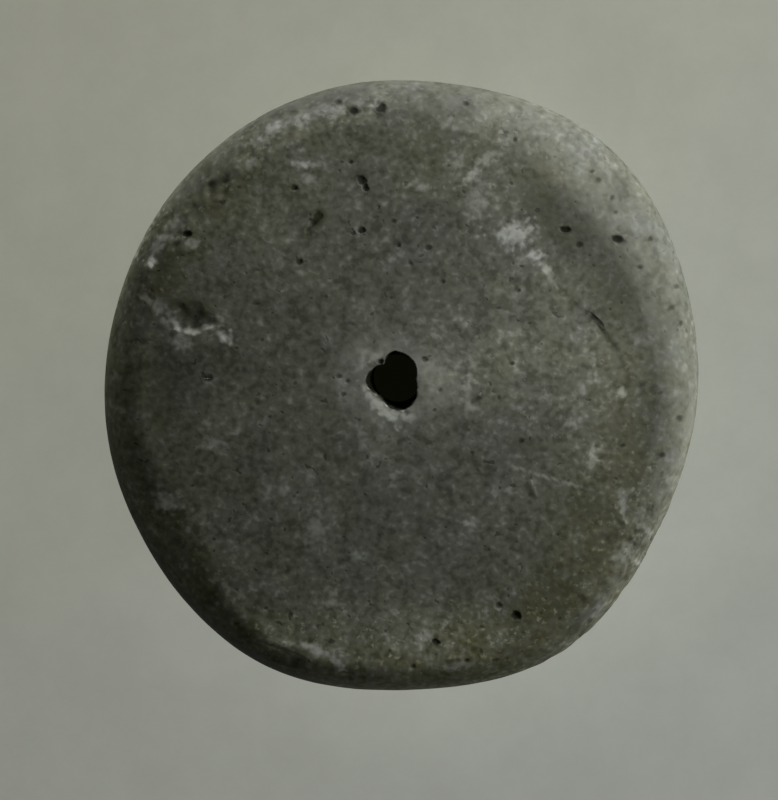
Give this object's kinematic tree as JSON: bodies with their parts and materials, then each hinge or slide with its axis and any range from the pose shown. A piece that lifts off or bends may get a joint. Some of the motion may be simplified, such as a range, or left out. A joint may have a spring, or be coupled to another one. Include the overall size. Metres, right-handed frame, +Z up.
{
  "type": "stone spindle whorl",
  "caption": "Thick round stone disc with a rounded rim, a chipped and pitted face and a hole through it for a spindle.",
  "frame": {"origin": "on the underside, below the middle of the outline", "axes": "+Z up through the thickness, from the flat underside to the worn upper face; +Y towards the top of the picture"},
  "size_m": [0.0764, 0.0784, 0.014],
  "materials": {
    "stone": "ground dark grey stone, matte and faintly mottled, worn paler around the hole, pitted and chipped"
  },
  "bodies": {
    "root": {"whorl": "stone"}
  },
  "joints": []
}
